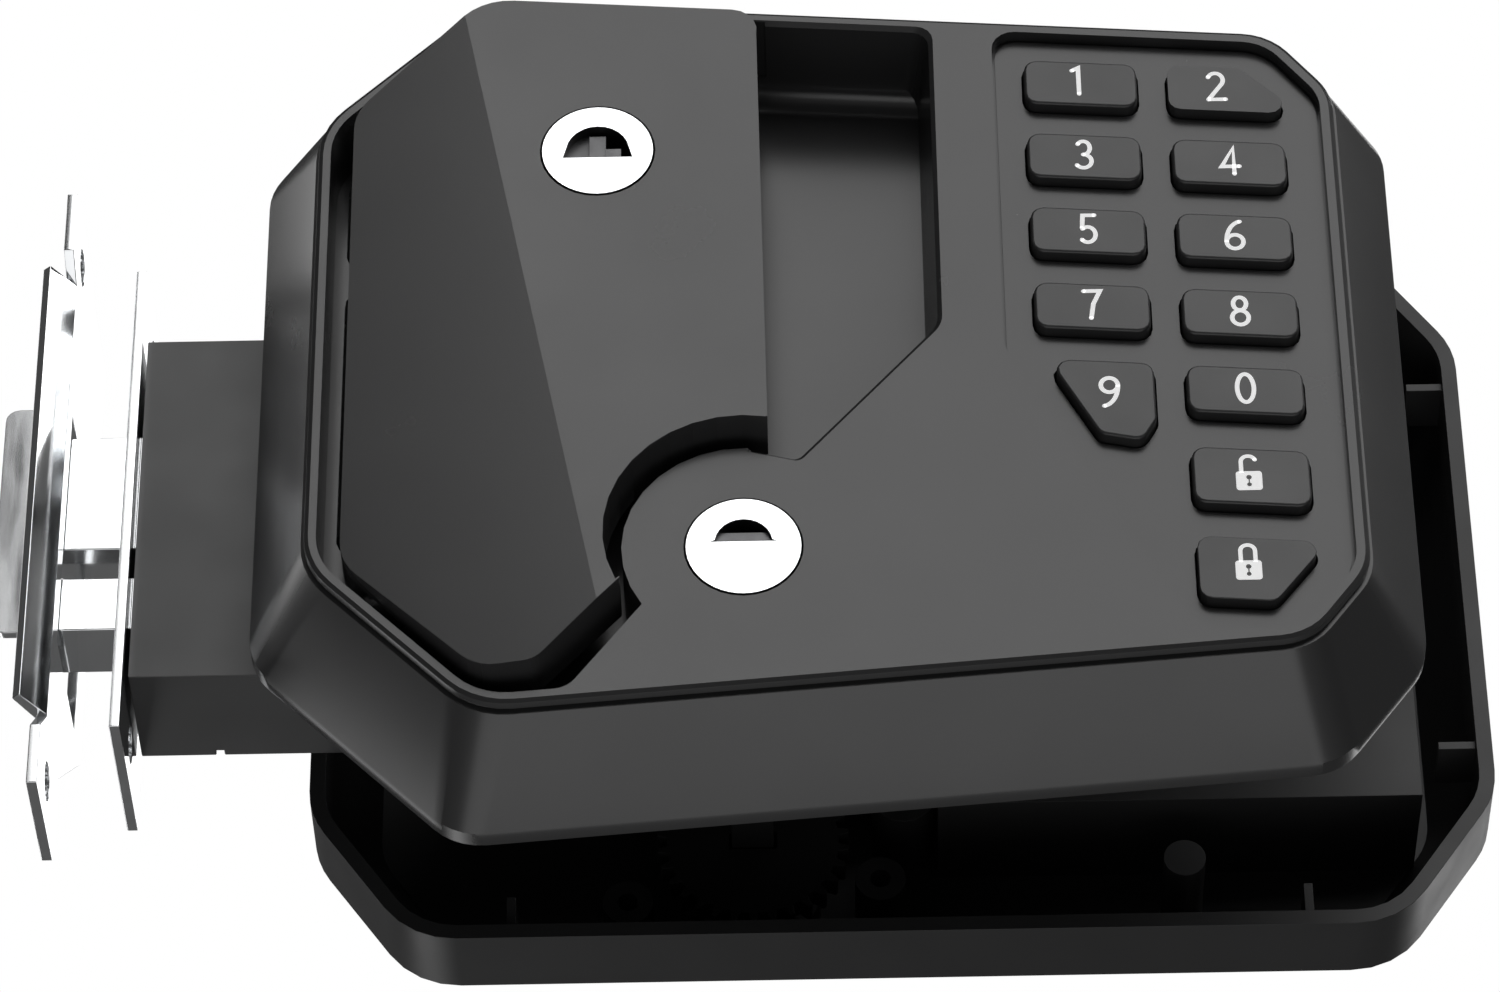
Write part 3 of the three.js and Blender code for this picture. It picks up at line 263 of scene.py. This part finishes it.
def ribbon(graph, path, width, y):
    """A flat stroke of even width along an XZ path, with round ends."""
    points = [Vector(p) for p in path]
    closed = (points[0] - points[-1]).length < width * 0.01
    if closed:
        points.pop()
    rows = []
    for i, here in enumerate(points):
        before = points[i - 1] if closed or i > 0 else here
        after = points[(i + 1) % len(points)] if closed or i + 1 < len(points) else here
        into = (here - before).normalized() if here != before else (after - here).normalized()
        away = (after - here).normalized() if after != here else into
        along = (into + away).normalized()
        side = Vector((-along.y, along.x)) * width / 2 / max(0.5, along.dot(into))
        rows.append([graph.verts.new((p.x, y, p.y)) for p in (here + side, here - side)])
    pairs = list(zip(rows, rows[1:])) + ([(rows[-1], rows[0])] if closed else [])
    for (a, b), (c, d) in pairs:
        graph.faces.new((a, c, d, b))
    if not closed:
        for end in (points[0], points[-1]):
            disc(graph, end, width / 2, y)


def disc(graph, centre, radius, y, sides=14):
    """A flat round face about an XZ point."""
    rim = curve(centre[0], centre[1], radius, radius, 0, 360 - 360 / sides, sides - 1)
    graph.faces.new([graph.verts.new((x, y, z)) for x, z in rim])


def rounded_box(graph, x, z, width, height, radius, y):
    """A flat face with round corners, about (x, z)."""
    outline = []
    for turn, (sx, sz) in enumerate(((1, 1), (-1, 1), (-1, -1), (1, -1))):
        corner = (x + sx * (width / 2 - radius), z + sz * (height / 2 - radius))
        outline += curve(*corner, radius, radius, 90 * turn, 90 * turn + 90, 5)
    graph.faces.new([graph.verts.new((px, y, pz)) for px, pz in outline])


def printed(name, draw, key, look):
    """A thin printed piece on a key's front. draw(graph, x, z, y) adds its faces."""
    low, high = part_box(key)
    dx, dz = LEGEND_SHIFT.get(key[4:], (0, 0.2))
    graph = bmesh.new()
    draw(graph, (low.x + high.x) / 2 + dx * MM, (low.z + high.z) / 2 + dz * MM, low.y - LEGEND_RISE)
    mesh = bpy.data.meshes.new(name)
    graph.to_mesh(mesh)
    graph.free()
    mesh.materials.append(look)
    piece = bpy.data.objects.new(name, mesh)
    bpy.context.scene.collection.objects.link(piece)
    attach(piece, "button_" + key[4:])


def draw_digit(number):
    """The drawing function of one numeral, for printed()."""
    def draw(graph, x, z, y):
        for stroke in DIGITS[number]:
            path = [(x + px * DIGIT_HEIGHT, z + pz * DIGIT_HEIGHT) for px, pz in stroke]
            ribbon(graph, path, STROKE, y)
            y -= LAYER
    return draw


def draw_padlock(is_open):
    """The drawing function of an open or closed padlock, for printed()."""
    def draw(graph, x, z, y):
        rounded_box(graph, x, z - 1.05 * MM, 2.8 * MM, 2.5 * MM, 0.35 * MM, y)
        left, right, top = x - 0.78 * MM, x + 0.78 * MM, z + 1.45 * MM
        over = curve(x, top, 0.78 * MM, 0.75 * MM, 180, 20 if is_open else 0, 14)
        down = [] if is_open else [(right, z)]
        ribbon(graph, [(left, z), *over, *down], 0.46 * MM, y - LAYER)
    return draw


def draw_keyhole(graph, x, z, y):
    """The padlock's keyhole, drawn on top of its body."""
    y -= 0.01 * MM
    disc(graph, (x, z - 0.6 * MM), 0.3 * MM, y)
    disc(graph, (x, z - 1.55 * MM), 0.26 * MM, y)
    ribbon(graph, [(x, z - 0.6 * MM), (x, z - 1.55 * MM)], 0.14 * MM, y - LAYER)


for number in DIGITS:
    printed(f"legend_{number}", draw_digit(number), f"key_{number}", PRINT_AND_GLOW)
for key, is_open in (("key_unlock", True), ("key_lock", False)):
    printed(f"padlock_on_{key}", draw_padlock(is_open), key, PRINT_AND_GLOW)
    printed(f"keyhole_on_{key}", draw_keyhole, key, LOOKS["keys"])

# ---------------------------------------------------------------- camera, at the product shot's angle
TARGET = Vector((-9.1, -16.4, -21.9)) * MM
DISTANCE = 659.4 * MM
ELEVATION = math.radians(-36.095)
AZIMUTH = math.radians(0.6285)
ROLL = math.radians(-0.6652)
SENSOR = 36                       # millimetres, as the lens is
LENS = 148.13


def add_camera():
    """Places the camera on TARGET, DISTANCE away, turned by the three angles."""
    data = bpy.data.cameras.new("camera")
    data.sensor_width = SENSOR
    data.lens = LENS
    data.clip_start = 0.01
    camera = bpy.data.objects.new("camera", data)
    bpy.context.scene.collection.objects.link(camera)
    back = Vector((math.sin(AZIMUTH) * math.cos(ELEVATION),
                   -math.cos(AZIMUTH) * math.cos(ELEVATION), math.sin(ELEVATION)))
    level = (-back).cross(Vector((0, 0, 1))).normalized()
    rise = level.cross(-back)
    right = math.cos(ROLL) * level + math.sin(ROLL) * rise
    up = math.cos(ROLL) * rise - math.sin(ROLL) * level
    camera.matrix_world = Matrix((
        (right.x, up.x, back.x, 0), (right.y, up.y, back.y, 0), (right.z, up.z, back.z, 0), (0, 0, 0, 1),
    ))
    camera.location = TARGET + back * DISTANCE
    bpy.context.scene.camera = camera


add_camera()

# ---------------------------------------------------------------- stage and light
def add_floor(height, half):
    """A pale square floor. It glows for the camera only, so that it adds no light."""
    graph = bmesh.new()
    bmesh.ops.create_grid(graph, x_segments=1, y_segments=1, size=half)
    mesh = bpy.data.meshes.new("floor")
    graph.to_mesh(mesh)
    graph.free()
    floor = bpy.data.objects.new("floor", mesh)
    floor.location.z = height
    bpy.context.scene.collection.objects.link(floor)
    paper = socketed("floor_paper", Base_Color=(0.8, 0.8, 0.8, 1), Roughness=0.9,
                     Emission_Color=(1, 1, 1, 1))
    nodes, links = paper.node_tree.nodes, paper.node_tree.links
    seen = nodes.new("ShaderNodeLightPath")
    glow = nodes.new("ShaderNodeMapRange")
    glow.inputs["To Max"].default_value = FLOOR_GLOW
    links.new(seen.outputs["Is Camera Ray"], glow.inputs["Value"])
    links.new(glow.outputs["Result"], nodes["Principled BSDF"].inputs["Emission Strength"])
    mesh.materials.append(paper)


def softbox(name, azimuth, elevation, distance, width, height, radiance):
    """An area light that faces the object. Azimuth 0 is in front of it and 90 on its right.

    Angles are in degrees and lengths in metres.
    """
    data = bpy.data.lights.new(name, "AREA")
    data.shape = "RECTANGLE"
    data.size = width
    data.size_y = height
    data.energy = radiance * math.pi * width * height
    light = bpy.data.objects.new(name, data)
    a, e = math.radians(azimuth), math.radians(elevation)
    towards = Vector((math.sin(a) * math.cos(e), -math.cos(a) * math.cos(e), math.sin(e)))
    light.location = towards * distance
    light.rotation_mode = "QUATERNION"
    light.rotation_quaternion = towards.to_track_quat("Z", "Y")
    light.visible_camera = False
    bpy.context.scene.collection.objects.link(light)


def add_world(backdrop, ambient):
    """A white backdrop for the camera, and a weaker even light for everything else."""
    world = bpy.data.worlds.new("studio")
    world.use_nodes = True
    nodes, links = world.node_tree.nodes, world.node_tree.links
    shade = nodes["Background"]
    shade.inputs["Color"].default_value = (1, 1, 1, 1)
    path = nodes.new("ShaderNodeLightPath")
    level = nodes.new("ShaderNodeMapRange")
    level.inputs["To Min"].default_value = ambient
    level.inputs["To Max"].default_value = backdrop
    links.new(path.outputs["Is Camera Ray"], level.inputs["Value"])
    links.new(level.outputs["Result"], shade.inputs["Strength"])
    bpy.context.scene.world = world


add_floor(FLOOR_HEIGHT, FLOOR_HALF)
add_world(1.0, 0.06)
softbox("key", 19.9, 37, 1.6, 1.43, 1.6, 2.0)
softbox("bolts", -9, 36, 1.6, 0.16, 0.3, 1.8)
softbox("under", 6, -80, 1.2, 1.3, 1.0, 0.9)
softbox("back", 168, 36, 1.6, 0.4, 0.8, 1.8)
softbox("rim_left", -118, 10, 1.4, 0.5, 1.8, 1.9)
softbox("side", 98, 36, 1.4, 0.5, 0.8, 4.2)
softbox("low_left", -158, -18, 1.4, 0.4, 0.5, 1.9)
softbox("low_right", 149, 12, 1.4, 0.35, 0.45, 1.9)
bpy.context.scene.view_settings.view_transform = "Standard"
